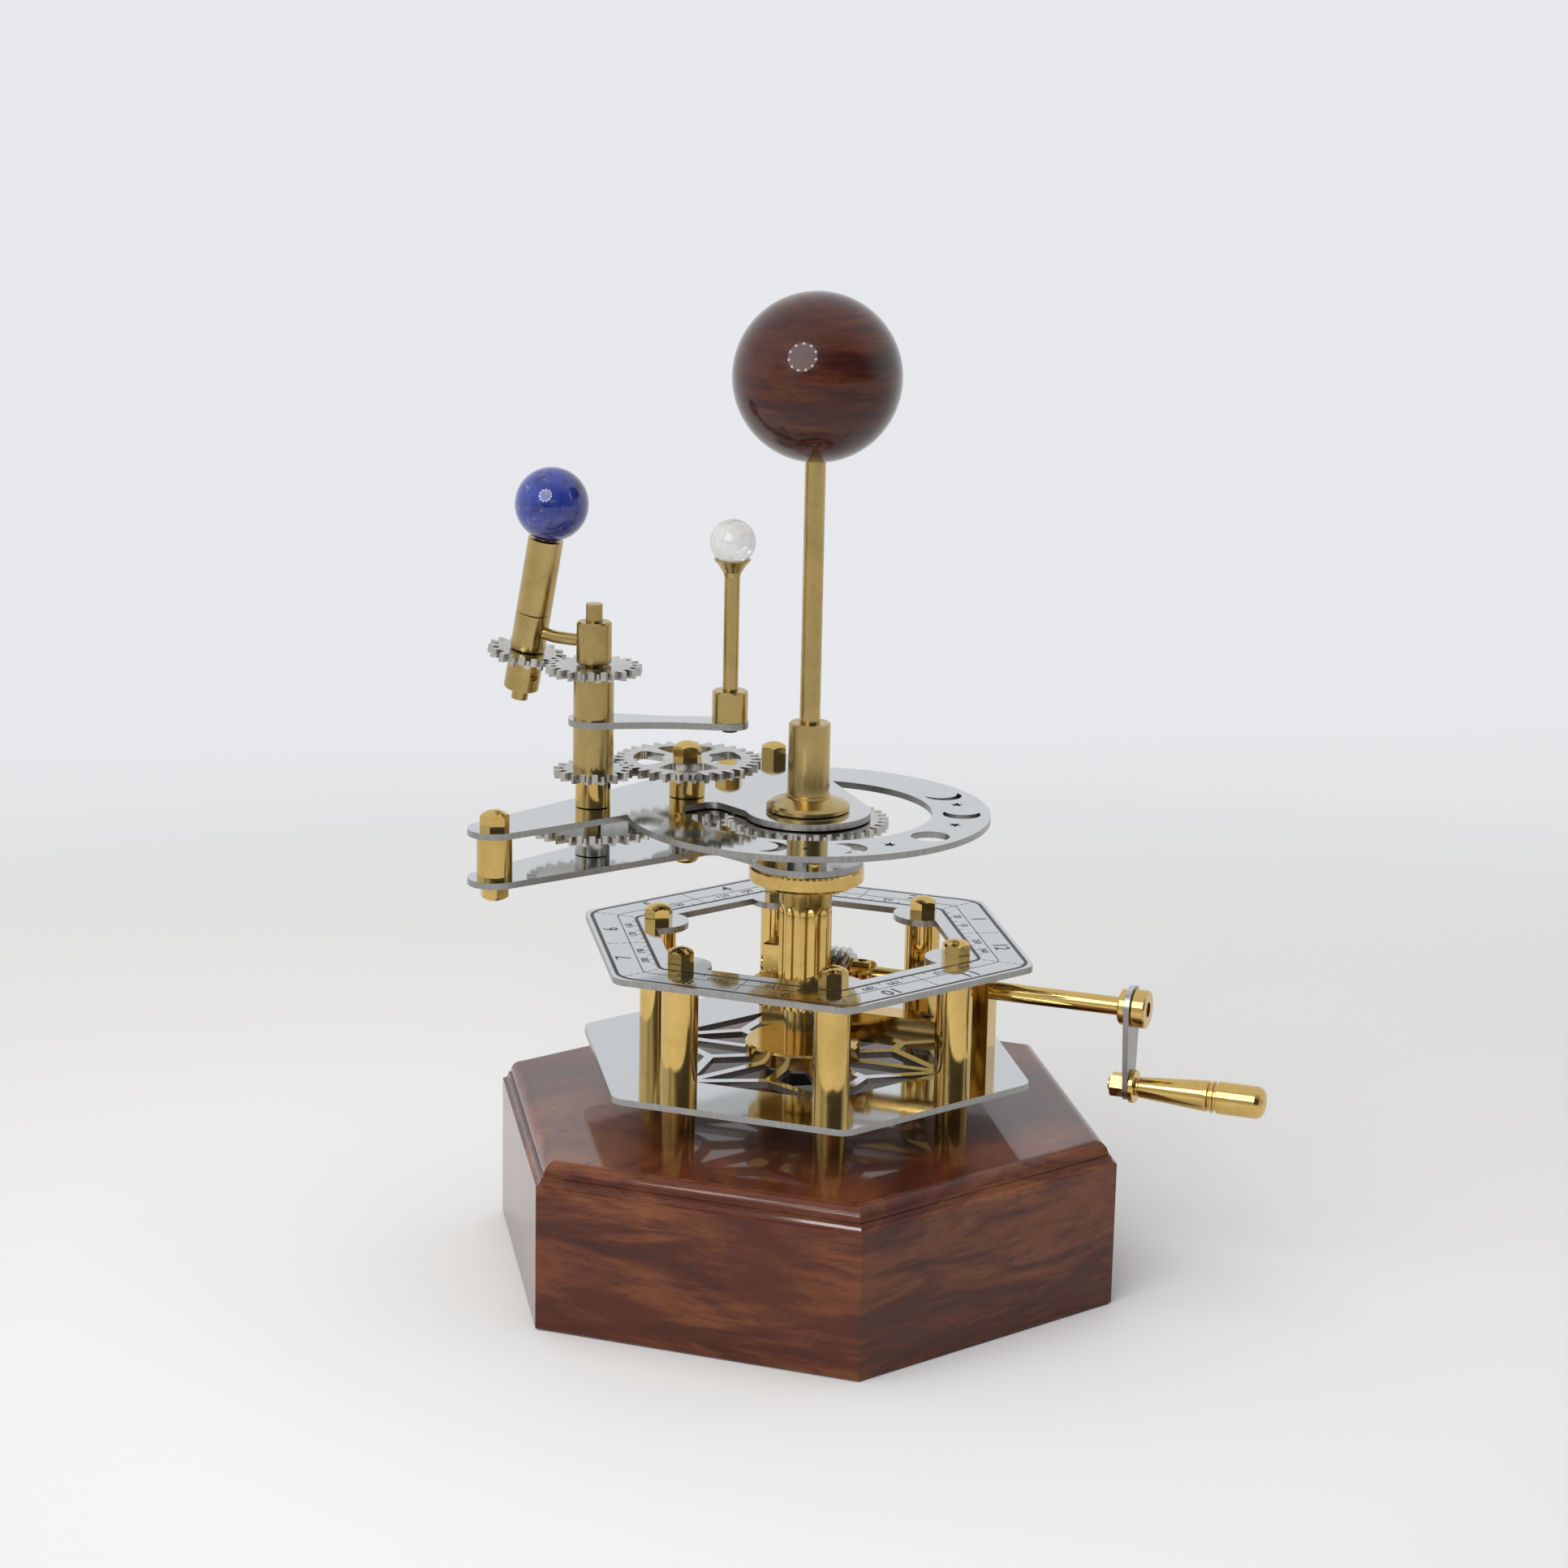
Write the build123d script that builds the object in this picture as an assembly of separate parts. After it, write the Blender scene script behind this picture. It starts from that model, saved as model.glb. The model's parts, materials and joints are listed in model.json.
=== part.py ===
from build123d import *
from math import acos, atan2, cos, degrees, hypot, pi, radians, sin, sqrt, tan
import os

os.makedirs("parts", exist_ok=True)

# A table orrery that stands on a hexagonal wooden base. Millimetres, +Z up.
# The origin is on the turning axis, in the underside of the base.
# The hexagon's corners point to 30, 90, 150, 210, 270 and 330 degrees.

# wooden base
baseCorner = 114.0
baseHeight = 58.0
crownHeight = 7.4
coveHeight = 2.6
coveIn = 2.2
coveSteps = 4
crownStepIn = 0.9
crownRound = 4.6
baseChamfer = 0.8

# the six columns of rod, foot, pillar and nut
pillarCircle = 54.5
pillarRadius = 6.25
footRadius = 5.6
footLength = 14.7
tieRadius = 2.0
sinkRadius = 7.0
sinkDepth = 9.0
cornerAngles = [30, 90, 150, 210, 270, 330]

# hexagonal steel plates
plateCorner = 82.6
plateThick = 2.2
plateRound = 6.5
plateGap = 39.4
openingFlat = 49.5
earRadius = 10.5

# star of cut-outs in the lower plate
starTip = 51.5
starNotch = 32.6
starInner = 16.5
starBar = 3.3
padRadius = 4.4

# cap nuts
nutFlats = 8.7
nutHeight = 6.2
nutDome = 7.2

# fixed boss and post in the middle
postRadius = 4.0
postOver = 18.8
bossRadius = 20.0
bossThick = 5.2
spigotWide = 5.0
hubRadius = 6.6
hubRise = 20.05

# running and standing clearances
runFit = 0.05
sideGap = 0.3
seatGap = 0.1

# a length for cuts that go right through
through = 400.0

# worm and wheel
wheelTeeth = 44
wheelModule = 0.8
wheelThick = 6.0
wormPitchRadius = 8.0
wormLength = 17.6
wormCollarRadius = 5.2
wormCollarLength = 7.6
shaftRadius = 3.2
crankAngle = -30.0

# worm bracket, lengths along the crank shaft
bracketStart = -23.0
bracketEnd = 60.4
postThick = 10.0
postHeadroom = 8.6
barHeight = 10.6
bracketScrews = [-5.0, 36.5]
screwShank = 1.5
screwHead = 2.75

# turning column and its collar
columnRadius = 9.1
columnFlutes = 11
fluteRadius = 7.0
fluteDepth = 0.75
fluteTurn = 2.0
fluteShort = 16.6
columnLength = 42.05
collarRadius = 19.85
collarThick = 6.2

# arm plates
armThick = 2.2
armSpace = 14.7
tipAt = (-108.6, -15.0)
tipRadius = 9.1
backAt = (0.7, 75.3)
backRadius = 9.5
midAt = (-19.5, 51.0)
neckAt = (-30.0, 14.8)
hubLowRadius = 19.5
hubHighRadius = 21.5
ringOuter = 62.5
ringInner = 42.5
spacerRadius = 6.0
hubScrewCircle = 14.0
hubScrewAngles = [30, 150, 270]

# moon phases cut through the ring
phaseRadius = 6.5
phaseMiddle = -49.0
phaseStar = 2.7
crescentSteps = [(36.5, 5.2), (65.5, 3.0)]
starSteps = [20.0, 51.0]

# gears
gearModule = 1.5
gearThick = 2.9
sunTeeth = 35
idlerHighTeeth = 25
idlerLowTeeth = 20
earthWheelTeeth = 28
spokedTeeth = 32
moonTeeth = 16
driveTeeth = 20
earthPinionTeeth = 16
backlash = 0.16

# upright shafts on the arm
earthAt = (-72.5, 12.0)
spindleRadius = 2.85
spindleOver = 6.1
idlerRadius = 3.0
bushRadius = 4.4
bushDrop = 4.4
gearHubRadius = 6.0
screwRadius = 1.7
idlerScrewAngle = -125.0
moonScrewAngle = -25.0
earthScrewAngle = -20.0

# moon
moonReach = 46.3
moonBearing = -10.0
moonTubeRadius = 6.9
moonTubeLow = 15.3
moonArmThick = 2.3
moonTubeHigh = 15.4
moonBallRadius = 7.75
moonRise = 63.7
moonStemRadius = 2.65
moonCupRadius = 6.2
moonBaseRadius = 6.1
moonBaseHeight = 10.5

# earth
tilt = 10.5
stemSide = 142.0
driveThick = 3.0
pinionThick = 2.9
sleeveLength = 13.1
tubeEnd = 39.6
earthBallRadius = 12.55
earthBallAlong = 52.0
rodRadius = 2.1
rodAlong = 9.0
rodReach = 10.0
stemBelow = 16.2
stemAbove = 48.0
hubBelow = 11.2
collarLength = 14.3

# sun
sunBallRadius = 28.5
sunRise = 148.2
sunRodRadius = 3.5
sunRodSink = 9.0
socketRadius = 7.15
socketLength = 30.6
flangeRadius = 14.3

# crank
throw = 28.0
shoulderEnd = 106.4
washerThick = 2.8
stripThick = 1.9
spigotRadius = 2.6
endNutRadius = 6.65
endNutLength = 4.9
pinRadius = 1.9
pinHeadRadius = 3.0
pinHeadThick = 3.0
flangeThick = 1.9
gripRadius = 5.6
gripBody = 28.0
gripCap = 17.4

# levels that follow from the sizes above
baseSide = baseHeight - crownHeight
footTop = baseHeight + footLength
lowerTop = footTop + plateThick
upperLow = lowerTop + plateGap
upperTop = upperLow + plateThick
hubTop = lowerTop + hubRise
wheelLow = hubTop + seatGap
wheelTop = wheelLow + wheelThick
armLow = wheelTop + columnLength
armLowTop = armLow + armThick
armHigh = armLowTop + armSpace
armHighTop = armHigh + armThick
fluteTop = armLow - fluteShort
postTop = armHighTop + postOver
socketTop = armHighTop + socketLength
sunLevel = armHighTop + sunRise
wormDistance = wheelTeeth * wheelModule / 2 + wormPitchRadius
shaftLevel = wheelLow + wheelThick / 2
wormPitch = pi * wheelModule
bracketTop = shaftLevel + postHeadroom
stripStart = shoulderEnd + washerThick
stripEnd = stripStart + stripThick
gripStart = stripEnd + flangeThick + 0.2
gripJoint = gripStart + gripBody
gripEnd = gripJoint + gripCap
headEnd = gripJoint - 9.6
headStart = headEnd - pinHeadThick
gearHigh = armHigh - 0.5 - gearThick
gearLow = gearHigh - 0.3 - gearThick
spokedLevel = armHighTop + 10.3
spokedTop = spokedLevel + gearThick
moonArmLevel = spokedTop + moonTubeLow
moonArmTop = moonArmLevel + moonArmThick
moonTubeTop = moonArmTop + moonTubeHigh
moonBallLevel = moonArmLevel + moonRise
moonBaseTop = moonArmTop + moonBaseHeight
driveTop = moonTubeTop + driveThick
collarLow = driveTop + 2 * sideGap
collarTop = collarLow + collarLength
spindleTop = collarTop + spindleOver


def polar(radius, angle):
    return (radius * cos(radians(angle)), radius * sin(radians(angle)))


def bearing(fromPoint, toPoint):
    return degrees(atan2(toPoint[1] - fromPoint[1], toPoint[0] - fromPoint[0]))


# the idler's axis is where both its gears mesh
sunIdler = (sunTeeth + idlerHighTeeth) * gearModule / 2
idlerEarth = (idlerLowTeeth + earthWheelTeeth) * gearModule / 2
sunEarth = hypot(earthAt[0], earthAt[1])
idlerOpen = degrees(acos((sunIdler**2 + sunEarth**2 - idlerEarth**2) / (2 * sunIdler * sunEarth)))
idlerAt = polar(sunIdler, bearing((0, 0), earthAt) - idlerOpen)
moonStep = polar(moonReach, moonBearing)
moonAt = (earthAt[0] + moonStep[0], earthAt[1] + moonStep[1])

# the earth's stem leans towards the upright shaft
pitchDrive = driveTeeth * gearModule / 2
pitchPinion = earthPinionTeeth * gearModule / 2
stemReach = pitchDrive + pitchPinion * cos(radians(tilt))
stemStep = polar(stemReach, stemSide)
stemMid = (
    earthAt[0] + stemStep[0],
    earthAt[1] + stemStep[1],
    moonTubeTop + driveThick / 2 + pitchPinion * sin(radians(tilt)),
)
leanStep = polar(sin(radians(tilt)), stemSide + 180)
stemAxis = (leanStep[0], leanStep[1], cos(radians(tilt)))
acrossStep = polar(cos(radians(tilt)), stemSide + 180)
stemAcross = (acrossStep[0], acrossStep[1], -sin(radians(tilt)))
stemPlane = Plane(origin=stemMid, x_dir=stemAcross, z_dir=stemAxis)

# the crank shaft lies beside the column, towards one corner
crankDir = polar(1, crankAngle)
crankSide = polar(1, crankAngle + 90)
shaftAt = (crankSide[0] * wormDistance, crankSide[1] * wormDistance, shaftLevel)
shaftPlane = Plane(
    origin=shaftAt,
    x_dir=(crankSide[0], crankSide[1], 0),
    z_dir=(crankDir[0], crankDir[1], 0),
)
pinPlane = shaftPlane * Pos(0, -throw, 0)


def save(shape, name):
    export_step(shape, "parts/" + name + ".step")


def rod(radius, low, high, at=(0, 0)):
    return Pos(at[0], at[1], (low + high) / 2) * Cylinder(radius, high - low)


def tube(outer, inner, low, high, at=(0, 0)):
    return rod(outer, low, high, at) - rod(inner, low - 1, high + 1, at)


def turned(points, at=(0, 0)):
    outline = make_face(Plane.XZ * Polyline(*points, close=True))
    return Pos(at[0], at[1], 0) * revolve(outline, Axis.Z)


def group(shapes):
    return Compound(children=[one for shape in shapes for one in shape.solids()])


def hexPlate(corner, low, high, cornerRound):
    outline = RegularPolygon(corner, 6, rotation=30)
    if cornerRound:
        outline = fillet(outline.vertices(), cornerRound)
    return Pos(0, 0, low) * extrude(outline, high - low)


def capNut(at, level, turn=0.0, down=False):
    body = extrude(RegularPolygon(nutFlats / 2, 6, major_radius=False), nutHeight)
    body = body & Pos(0, 0, nutHeight - nutDome) * Sphere(nutDome)
    body = body - Cylinder(tieRadius, 2 * (nutHeight - 1.6))
    if down:
        body = Rot(180, 0, 0) * body
    return Pos(at[0], at[1], level) * Rot(0, 0, turn) * body


def involute(baseRadius, radius):
    if radius <= baseRadius:
        return 0.0
    roll = sqrt((radius / baseRadius) ** 2 - 1)
    return roll - atan2(roll, 1)


def gearOutline(teeth, module, thin, addendum=1.0):
    pitch = teeth * module / 2
    base = pitch * cos(radians(20))
    tip = pitch + addendum * module
    root = pitch - 1.25 * module
    half = pi / (2 * teeth) - thin / (2 * pitch) + involute(base, pitch)
    low = max(root, base)
    rings = [root, low + (pitch - low) * 0.5, pitch + (tip - pitch) * 0.35, tip]
    points = []
    for tooth in range(teeth):
        middle = 2 * pi * tooth / teeth
        for ring in rings:
            turn = middle - half + involute(base, ring)
            points.append((ring * cos(turn), ring * sin(turn)))
        for ring in reversed(rings):
            turn = middle + half - involute(base, ring)
            points.append((ring * cos(turn), ring * sin(turn)))
    return make_face(Polyline(*points, close=True))


def gear(teeth, thick, bore, thin=backlash, module=gearModule, addendum=1.0):
    blank = extrude(gearOutline(teeth, module, thin, addendum), thick)
    return blank - Pos(0, 0, thick / 2) * Cylinder(bore, thick + 2)


def placedGear(teeth, level, at, tooth, bore, thin=backlash):
    return Pos(at[0], at[1], level) * Rot(0, 0, tooth) * gear(teeth, gearThick, bore, thin)


def gapTurn(teeth):
    return 180.0 / teeth


def woodBase():
    body = hexPlate(baseCorner, 0, baseSide, 0)
    quarter = pi / 2 / coveSteps
    for step in range(coveSteps):
        first = step * quarter
        second = (step + 1) * quarter
        body = body + loft([
            Pos(0, 0, baseSide + coveHeight * (1 - cos(turn)))
            * RegularPolygon(baseCorner - coveIn * sin(turn), 6, rotation=30)
            for turn in [first, second]
        ])
    coveTop = baseSide + coveHeight
    crown = hexPlate(baseCorner - coveIn - crownStepIn, coveTop, baseHeight, 0)
    crown = fillet(crown.edges().group_by(Axis.Z)[-1], crownRound)
    body = chamfer((body + crown).faces().sort_by(Axis.Z)[0].edges(), baseChamfer)
    for angle in cornerAngles:
        at = polar(pillarCircle, angle)
        body = body - rod(tieRadius + 0.2, -1, baseHeight + 1, at)
        body = body - rod(sinkRadius, -1, sinkDepth, at)
    return body


def tieRods():
    return group([
        rod(tieRadius, sinkDepth - 5, upperTop + nutHeight - 2.0, polar(pillarCircle, angle))
        for angle in cornerAngles
    ])


def baseNuts():
    nuts = []
    for angle in cornerAngles:
        at = polar(pillarCircle, angle)
        washer = tube(5.5, tieRadius, sinkDepth - 1, sinkDepth, at)
        nut = extrude(RegularPolygon(4.0, 6, major_radius=False), 3.2)
        nut = nut - Cylinder(tieRadius, 10)
        nuts.append(washer + Pos(at[0], at[1], sinkDepth - 4.2) * nut)
    centre = extrude(RegularPolygon(11.0, 6, major_radius=False), 6.2)
    centre = chamfer(centre.edges().group_by(Axis.Z)[0], 0.8)
    nuts.append(Pos(0, 0, footTop - 6.2) * (centre - Cylinder(spigotWide, 20)))
    return group(nuts)


def feet():
    return group([
        tube(footRadius, tieRadius, baseHeight, footTop, polar(pillarCircle, angle))
        for angle in cornerAngles
    ])


def starHoles():
    # a side hole's corners lie beyond the tips, so that its bars keep their width
    side = starTip * cos(radians(30))
    beyond = (side + starBar / 2 - starNotch) / (side - starNotch)
    cut = []
    for step in range(6):
        notch = polar(starNotch, 60 * step)
        corners = []
        for turn in [-30, 30]:
            tip = polar(starTip, 60 * step + turn)
            cut.append(shrunk([(0, 0), notch, tip] if turn > 0 else [(0, 0), tip, notch]))
            corners.append((
                notch[0] + (tip[0] - notch[0]) * beyond,
                notch[1] + (tip[1] - notch[1]) * beyond,
            ))
        cut.append(shrunk([notch, corners[0], corners[1]]))
    holes = Sketch() + cut - Circle(starInner)
    for along in bracketScrews:
        at = barPoint(along, wormDistance)
        holes = holes - Pos(at[0], at[1]) * Circle(padRadius)
    return Pos(0, 0, footTop - 1) * extrude(holes, plateThick + 2)


def shrunk(corners):
    hole = make_face(Polyline(*corners, close=True))
    return offset(hole, -starBar / 2, kind=Kind.INTERSECTION)


def lowerPlate():
    body = hexPlate(plateCorner, footTop, lowerTop, plateRound) - starHoles()
    body = body - rod(spigotWide, footTop - 1, lowerTop + 1)
    for angle in cornerAngles:
        body = body - rod(tieRadius, footTop - 1, lowerTop + 1, polar(pillarCircle, angle))
    for along in bracketScrews:
        body = body - rod(screwShank, footTop - 1, lowerTop + 1, barPoint(along, wormDistance))
    return body


def pillars():
    return group([
        tube(pillarRadius, tieRadius, lowerTop, upperLow, polar(pillarCircle, angle))
        for angle in cornerAngles
    ])


def upperPlate():
    body = hexPlate(plateCorner, upperLow, upperTop, plateRound)
    opening = RegularPolygon(openingFlat / cos(radians(30)), 6, rotation=30)
    for angle in cornerAngles:
        at = polar(pillarCircle, angle)
        opening = opening - Pos(at[0], at[1]) * Circle(earRadius)
    body = body - Pos(0, 0, upperLow - 1) * extrude(opening, plateThick + 2)
    for angle in cornerAngles:
        body = body - rod(tieRadius, upperLow - 1, upperTop + 1, polar(pillarCircle, angle))
    return body


def pillarNuts():
    turns = [12, 40, 8, 24, 52, 30]
    return group([
        capNut(polar(pillarCircle, angle), upperTop, turn)
        for angle, turn in zip(cornerAngles, turns)
    ])


def centreBoss():
    body = turned([
        (postRadius, footTop - 6.2), (spigotWide, footTop - 6.2), (spigotWide, lowerTop),
        (bossRadius, lowerTop), (bossRadius, lowerTop + bossThick - 0.7),
        (bossRadius - 0.7, lowerTop + bossThick), (hubRadius, lowerTop + bossThick),
        (hubRadius, hubTop - 0.4), (hubRadius - 0.4, hubTop), (postRadius, hubTop),
    ])
    return body


def barPoint(along, across):
    return (
        crankDir[0] * along + crankSide[0] * across,
        crankDir[1] * along + crankSide[1] * across,
    )


def bar(start, end, low, high):
    at = barPoint((start + end) / 2, wormDistance)
    block = Box(end - start, postThick, high - low)
    return Pos(at[0], at[1], (low + high) / 2) * Rot(0, 0, crankAngle) * block


def alongShaft(radius, start, end):
    return shaftPlane * Pos(0, 0, (start + end) / 2) * Cylinder(radius, end - start)


def bracketBar():
    body = bar(bracketStart + postThick, bracketEnd - postThick, lowerTop, lowerTop + barHeight)
    for along in bracketScrews:
        at = barPoint(along, wormDistance)
        body = body - rod(screwShank, lowerTop - 1, lowerTop + barHeight + 1, at)
        body = body - rod(screwHead, lowerTop + barHeight - 3.0, lowerTop + barHeight + 1, at)
    return body


def bracketScrewSet():
    screws = []
    for along in bracketScrews:
        at = barPoint(along, wormDistance)
        head = rod(screwHead, lowerTop + barHeight - 3.0, lowerTop + barHeight - 0.2, at)
        shank = rod(screwShank, footTop - 1.0, lowerTop + barHeight - 3.0, at)
        socket = extrude(RegularPolygon(1.25, 6, major_radius=False), 1.6)
        top = lowerTop + barHeight - 0.2
        screws.append(head + shank - Pos(at[0], at[1], top - 1.5) * socket)
    return group(screws)


def bearingPosts():
    posts = []
    for start in [bracketStart, bracketEnd - postThick]:
        body = bar(start, start + postThick, lowerTop, bracketTop)
        body = chamfer(body.edges().group_by(Axis.Z)[-1], 0.6)
        posts.append(body - alongShaft(shaftRadius + runFit, start - 1, start + postThick + 1))
    return group(posts)


def centrePost():
    return rod(postRadius, footTop - 6.2, postTop)


def sunGear():
    tooth = bearing((0, 0), idlerAt)
    hub = tube(6.9, postRadius, armLowTop + sideGap, gearHigh)
    return placedGear(sunTeeth, gearHigh, (0, 0), tooth, postRadius) + hub


def sunSocket():
    low = armHighTop + 0.2
    body = turned([
        (postRadius, low), (flangeRadius - 0.4, low), (flangeRadius, low + 0.4),
        (flangeRadius, low + 1.6), (flangeRadius - 1.0, low + 2.5),
        (socketRadius + 0.6, low + 4.6), (socketRadius + 0.6, low + 5.4),
        (socketRadius, low + 5.6), (socketRadius, socketTop - 0.5),
        (socketRadius - 0.5, socketTop), (sunRodRadius, socketTop),
        (sunRodRadius, postTop), (postRadius, postTop),
    ])
    return body


def sunRod():
    return rod(sunRodRadius, postTop, sunLevel - sunBallRadius + sunRodSink)


def sunBall():
    hole = rod(sunRodRadius, postTop, sunLevel - sunBallRadius + sunRodSink)
    return Pos(0, 0, sunLevel) * Sphere(sunBallRadius) - hole


def wormWheel():
    blank = extrude(gearOutline(wheelTeeth, wheelModule, 0.2, 0.95), wheelThick)
    blank = Rot(0, 0, crankAngle + 90 + gapTurn(wheelTeeth)) * blank
    return Pos(0, 0, wheelLow) * blank - rod(postRadius + runFit, 0, through)


def column():
    body = rod(columnRadius, wheelTop, armLow)
    away = columnRadius + fluteRadius - fluteDepth
    for step in range(columnFlutes):
        at = polar(away, 360.0 * step / columnFlutes + fluteTurn)
        body = body - rod(fluteRadius, wheelTop + 1.2, fluteTop, at)
        body = body - Pos(at[0], at[1], fluteTop) * Sphere(fluteRadius)
    return body - rod(postRadius + runFit, 0, through)


def columnCollar():
    low = armLow - collarThick
    body = turned([
        (columnRadius, low), (collarRadius - 1.4, low), (collarRadius, low + 1.2),
        (collarRadius, armLow - 1.0), (collarRadius - 0.9, armLow), (columnRadius, armLow),
    ])
    return body


def tangentSide(a, aRadius, b, bRadius, side):
    reach = hypot(b[0] - a[0], b[1] - a[1])
    turn = bearing(a, b) + side * degrees(acos((aRadius - bRadius) / reach))
    first = polar(aRadius, turn)
    second = polar(bRadius, turn)
    return (a[0] + first[0], a[1] + first[1]), (b[0] + second[0], b[1] + second[1])


def armOutline(hub):
    frontTip, neck = tangentSide(tipAt, tipRadius, neckAt, 0.01, -1)
    tipBack, backBack = tangentSide(tipAt, tipRadius, backAt, backRadius, 1)
    hubRight, backRight = tangentSide((0, 0), hub, backAt, backRadius, -1)
    sheet = make_face(Polyline(
        frontTip, neck, (-hub, 0.0), (0, 0), hubRight, backRight, backAt,
        backBack, tipBack, tipAt, close=True))
    corner = [v for v in sheet.vertices() if hypot(v.X - neck[0], v.Y - neck[1]) < 0.5]
    sheet = fillet(corner, 5.0)
    sheet = sheet + Pos(tipAt[0], tipAt[1]) * Circle(tipRadius)
    sheet = sheet + Pos(backAt[0], backAt[1]) * Circle(backRadius)
    return sheet + Circle(hub)


def studHoles(sheet):
    for at in [tipAt, backAt, midAt]:
        sheet = sheet - Pos(at[0], at[1]) * Circle(tieRadius)
    return sheet


def lowerArm():
    sheet = studHoles(armOutline(hubLowRadius)) - Circle(postRadius + 0.5)
    for at in [idlerAt, earthAt]:
        sheet = sheet - Pos(at[0], at[1]) * Circle(bushRadius - 0.9)
    for angle in hubScrewAngles:
        at = polar(hubScrewCircle, angle)
        sheet = sheet - Pos(at[0], at[1]) * Circle(screwShank)
    return Pos(0, 0, armLow) * extrude(sheet, armThick)


def crescent(angle, radius, shift, mirror):
    at = polar((ringOuter + ringInner) / 2, angle)
    disc = Circle(radius)
    bite = Pos(0, -mirror * shift) * Circle(radius * 0.97)
    return Pos(at[0], at[1]) * Rot(0, 0, angle) * (disc - bite)


def fullMoon(angle, radius):
    at = polar((ringOuter + ringInner) / 2, angle)
    return Pos(at[0], at[1]) * Circle(radius)


def star(angle, radius):
    at = polar((ringOuter + ringInner) / 2, angle)
    points = []
    for step in range(10):
        points.append(polar(radius if step % 2 == 0 else radius * 0.42, 36 * step))
    return Pos(at[0], at[1]) * Rot(0, 0, angle) * make_face(Polyline(*points, close=True))


def phaseHoles():
    holes = fullMoon(phaseMiddle, phaseRadius)
    for side in [-1, 1]:
        for step, shift in crescentSteps:
            holes = holes + crescent(phaseMiddle + side * step, phaseRadius, shift, -side)
        for step in starSteps:
            holes = holes + star(phaseMiddle + side * step, phaseStar)
    return holes


def upperArm():
    sheet = armOutline(hubHighRadius) + (Circle(ringOuter) - Circle(ringInner))
    sheet = studHoles(sheet) - phaseHoles() - Circle(postRadius + 0.5)
    sheet = sheet - Pos(idlerAt[0], idlerAt[1]) * Circle(idlerRadius + runFit)
    sheet = sheet - Pos(earthAt[0], earthAt[1]) * Circle(spindleRadius + runFit)
    return Pos(0, 0, armHigh) * extrude(sheet, armThick)


def armSpacers():
    return group([
        tube(spacerRadius, tieRadius, armLowTop, armHigh, at)
        for at in [tipAt, backAt, midAt]
    ])


def armStuds():
    low = armLow - nutHeight + 2.0
    high = armHighTop + nutHeight - 2.0
    return group([rod(tieRadius, low, high, at) for at in [tipAt, backAt, midAt]])


def armFasteners():
    turns = [6, 20, 10]
    nuts = []
    for at, turn in zip([tipAt, backAt, midAt], turns):
        nuts.append(capNut(at, armHighTop, turn))
        nuts.append(capNut(at, armLow, turn + 28, True))
    for angle in hubScrewAngles:
        at = polar(hubScrewCircle, angle)
        head = rod(2.6, armLowTop, armLowTop + 1.6, at)
        slot = Pos(at[0], at[1], armLowTop + 1.6) * Box(6, 0.7, 1.4)
        nuts.append(head + rod(screwShank, armLow, armLowTop, at) - slot)
    return group(nuts)


def armBushes():
    bushes = []
    for at, radius in [(idlerAt, idlerRadius), (earthAt, spindleRadius)]:
        low = armLow - bushDrop
        body = turned([
            (0, low), (bushRadius - 1.0, low), (bushRadius, low + 1.0), (bushRadius, armLow),
            (bushRadius - 0.9, armLow), (bushRadius - 0.9, armLowTop), (0, armLowTop),
        ], at)
        bushes.append(body - rod(radius + runFit, low + 1.2, armLowTop + 1, at))
    return group(bushes)


def spokedGear():
    body = gear(spokedTeeth, gearThick, idlerRadius)
    inner = 8.6
    outer = 18.6
    for step in range(4):
        turn = 90.0 * step + 20
        window = Circle(outer) - Circle(inner)
        window = window & make_face(Polyline(
            (0, 0), polar(40, turn + 9), polar(56, turn + 45), polar(40, turn + 81), close=True))
        window = fillet(window.vertices(), 2.2)
        body = body - Pos(0, 0, -1) * extrude(window, gearThick + 2)
    tooth = bearing(idlerAt, earthAt)
    return Pos(idlerAt[0], idlerAt[1], spokedLevel) * Rot(0, 0, tooth) * body


def idlerShaft():
    low = armLow - bushDrop + 1.5
    return rod(idlerRadius, low, spokedTop + nutHeight - 2.0, idlerAt)


def idlerHigh():
    tooth = bearing(idlerAt, (0, 0)) + gapTurn(idlerHighTeeth)
    return placedGear(idlerHighTeeth, gearHigh, idlerAt, tooth, idlerRadius)


def idlerLow():
    tooth = bearing(idlerAt, earthAt)
    hub = turned([
        (idlerRadius, armLowTop + sideGap), (gearHubRadius, armLowTop + sideGap),
        (gearHubRadius, gearLow - 2.6), (12.0, gearLow - 2.6), (12.0, gearLow),
        (idlerRadius, gearLow),
    ], idlerAt)
    return placedGear(idlerLowTeeth, gearLow, idlerAt, tooth, idlerRadius) + hub


def idlerWasher():
    return tube(8.0, idlerRadius, gearLow + gearThick, gearHigh, idlerAt)


def screwHole(at, angle, level, radius, reach):
    drill = Rot(0, 90, 0) * Cylinder(radius, reach)
    away = polar(reach / 2 + 3.0, angle)
    return Pos(at[0] + away[0], at[1] + away[1], level) * Rot(0, 0, angle) * drill


def idlerHub():
    body = tube(gearHubRadius + 0.2, idlerRadius, armHighTop + sideGap, spokedLevel, idlerAt)
    level = (armHighTop + spokedLevel) / 2 + 1.2
    return body - screwHole(idlerAt, idlerScrewAngle, level, screwRadius, 8)


def setScrew(at, angle, level, inner, outer):
    body = Rot(0, 90, 0) * (Cylinder(screwRadius, outer - inner) - Pos(0, 0, 1.5) * Cylinder(0.9, 3))
    away = polar((inner + outer) / 2, angle)
    return Pos(at[0] + away[0], at[1] + away[1], level) * Rot(0, 0, angle) * body


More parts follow.
